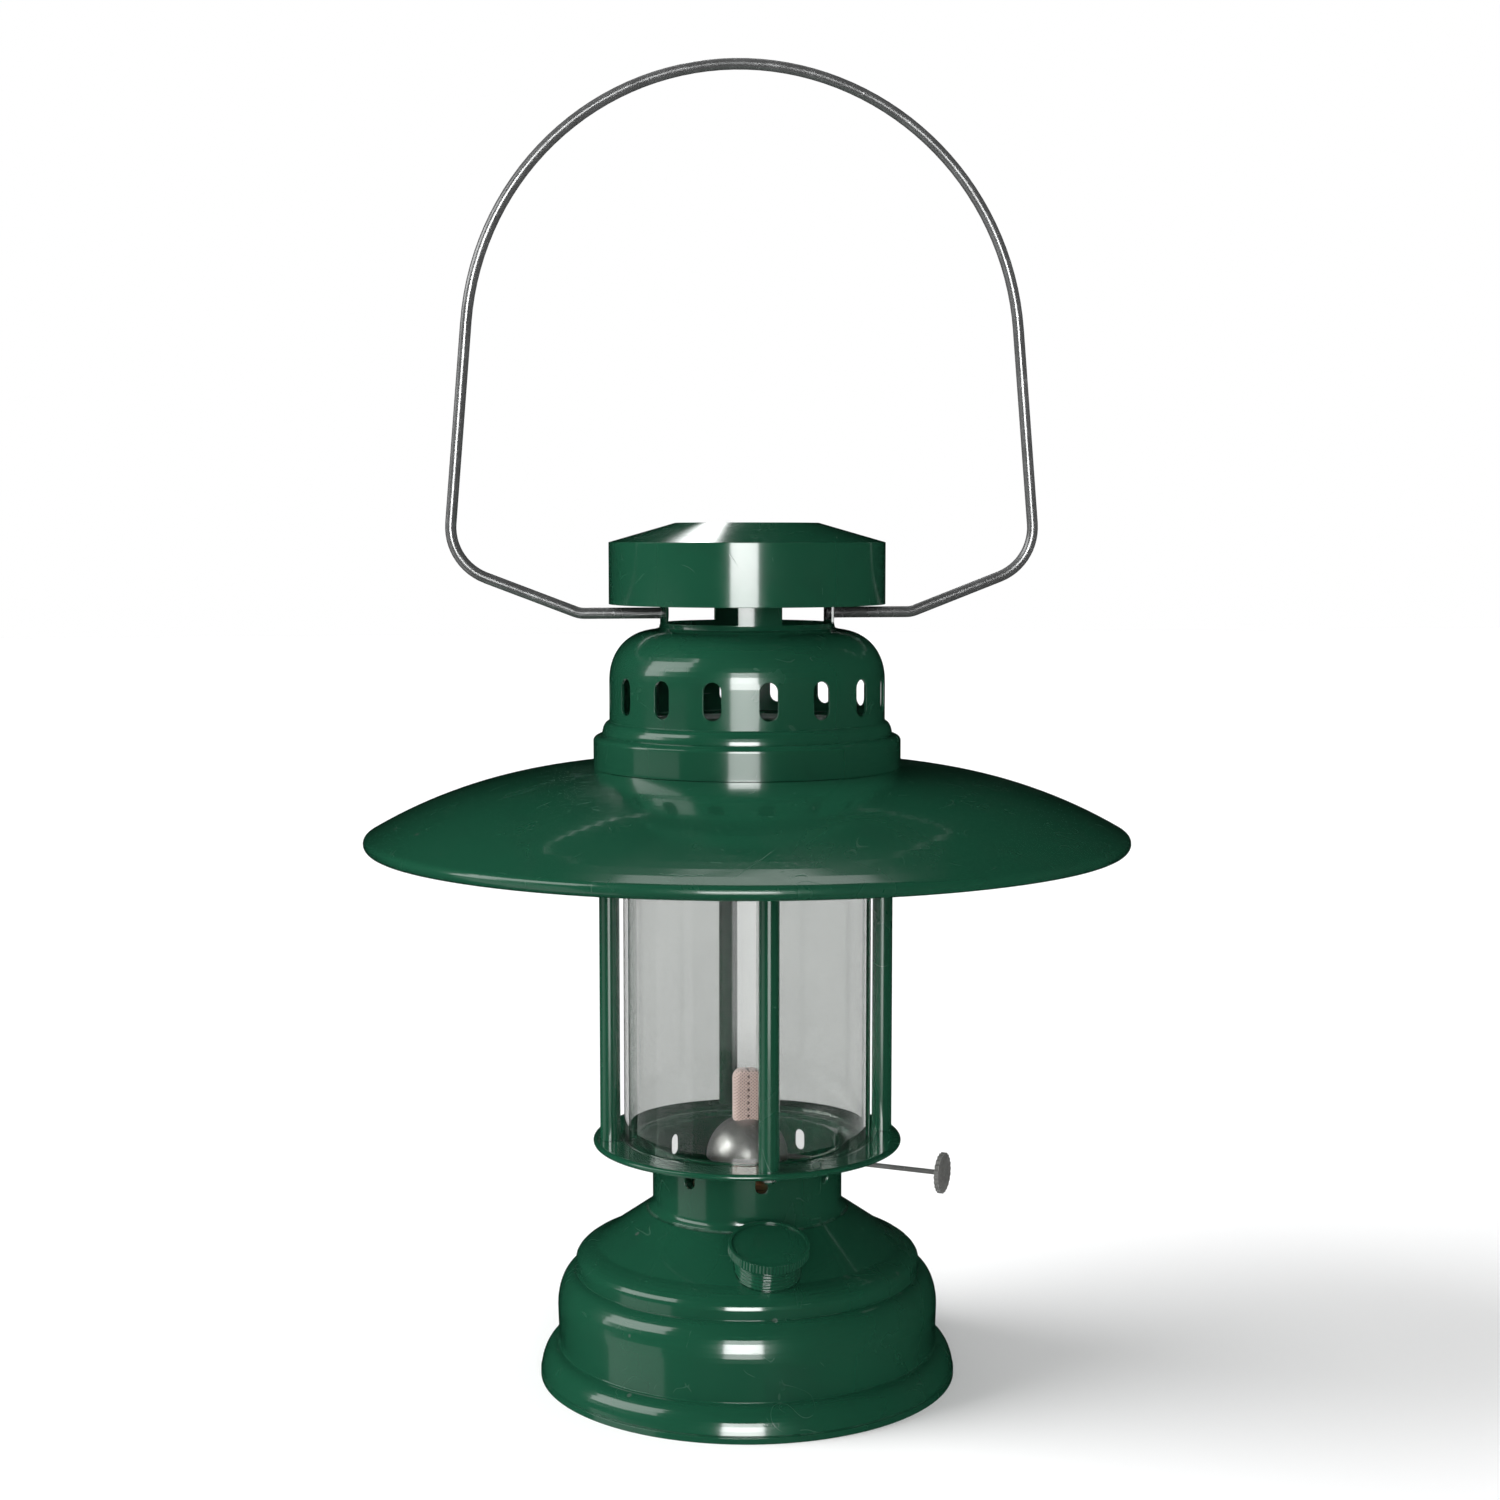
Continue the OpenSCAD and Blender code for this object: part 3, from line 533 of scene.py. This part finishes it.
class Sky(Shader):
    """The studio round the lantern: bright panels that the surfaces mirror, and an even white for the camera.

    A direction is given by side, in degrees from the camera round to its right, and by lift, in degrees above the
    floor. back_side is like side, but counted from the point opposite the camera, and also to the camera's right.
    """

    LIT_ROOM = 0.46  # the light that comes from all round
    LOST_IN_GLASS = 0.2  # for a ray mirrored more than once on its way through the glass

    def __init__(self):
        world = bpy.data.worlds.new("studio")
        bpy.context.scene.world = world
        world.use_nodes = True
        self.nodes = world.node_tree.nodes
        self.links = world.node_tree.links
        facing_camera = self.node("Mapping", {"Vector": self.node("TexCoord", out="Generated"),
                                              "Rotation": (0, 0, math.radians(-CAMERA_AZIMUTH))})
        self.x, self.y, self.z = [self.node("SeparateXYZ", {"Vector": facing_camera}, out=axis) for axis in "XYZ"]
        self.side = self.math("DEGREES", self.math("ARCTAN2", self.x, self.times(self.y, -1.0)))
        self.back_side = self.math("DEGREES", self.math("ARCTAN2", self.x, self.y))
        self.lift = self.math("DEGREES", self.math("ARCSINE", self.z))

    def band(self, value, low, high, soft_low, soft_high):
        """1 between low and high, 0 outside, with soft edges."""
        rise = self.ramp(value, low - soft_low, low + soft_low)
        fall = self.ramp(value, high - soft_high, high + soft_high, 1.0, 0.0)
        return self.times(rise, fall)

    def choose(self, share, a, b):
        """Value a where share is 0 and value b where it is 1."""
        return self.plus(self.times(self.math("SUBTRACT", 1.0, share), a), self.times(share, b))

    def passed(self, kind, count):
        """1 for a ray that has been through more than count steps of this kind."""
        return self.math("GREATER_THAN", self.node("LightPath", out=kind + " Depth"), count + 0.5)

    def panel(self, bright, *bands):
        """This bright where all the bands meet."""
        for band in bands:
            bright = self.times(bright, band)
        return bright

    def panels(self):
        # A tall window behind the camera, brightest in its upper part.
        upper = self.panel(10.5, self.band(self.lift, -2.2, 18.5, 2.2, 1.0))
        lower = self.panel(4.5, self.band(self.lift, -12.6, 18.5, 0.8, 1.0))
        front = self.panel(self.plus(upper, lower), self.band(self.side, -13.4, 9.2, 1.2, 1.2))
        # A slanted panel high on the left, and a dim one below it.
        slanted = self.math("SUBTRACT", self.lift, self.times(self.side, 0.40))
        left_high = self.panel(2.7, self.band(self.side, -95.0, -52.0, 0.5, 0.5),
                               self.band(slanted, 44.0, 68.0, 0.5, 0.5))
        left_low = self.panel(0.42, self.band(self.side, -92.5, -51.0, 0.5, 0.5),
                              self.band(self.lift, -60.0, -5.0, 0.5, 0.5))
        # A small one high behind the lantern.
        behind = self.panel(7.0, self.band(self.back_side, -5.8, -3.4, 1.4, 1.0),
                            self.band(self.lift, 25.5, 34.0, 2.5, 2.5))
        # A strip on the ceiling, which lies at a height of 1 in these numbers.
        above = self.math("MAXIMUM", self.z, 0.01)
        top = self.panel(1.7, self.band(self.math("DIVIDE", self.x, above), -0.34, 0.34, 0.01, 0.01),
                         self.band(self.math("DIVIDE", self.y, above), 0.36, 0.50, 0.01, 0.01))
        mirrored = front
        for part in (left_high, left_low, behind, top):
            mirrored = self.plus(mirrored, part)
        return mirrored

    def build(self):
        mirrored = self.panels()
        # Inside the glass, the white floor far behind the lantern is mirrored too.
        far_floor = self.panel(0.75, self.ramp(self.y, 0.75, 0.85), self.band(self.lift, -18.0, -0.5, 0.5, 0.5))
        through_glass = self.choose(self.passed("Glossy", 1), self.plus(mirrored, far_floor), self.LOST_IN_GLASS)
        mirrored = self.choose(self.passed("Transmission", 0), mirrored, through_glass)
        level = self.choose(self.passed("Glossy", 0), 1.0, mirrored)
        level = self.choose(self.passed("Diffuse", 0), level, self.LIT_ROOM)
        self.feed(self.nodes["Background"].inputs["Strength"], level)
        self.feed(self.nodes["Background"].inputs["Color"], rgb(1.0, 1.0, 1.0))


make_camera()
make_floor()
soft_light("key", azimuth=-83.0, elevation=27.0, spread=46.0, strength=4.1)
soft_light("fill", azimuth=4.0, elevation=12.0, spread=30.0, strength=1.5)
Sky().build()
bpy.context.scene.view_settings.view_transform = "Standard"
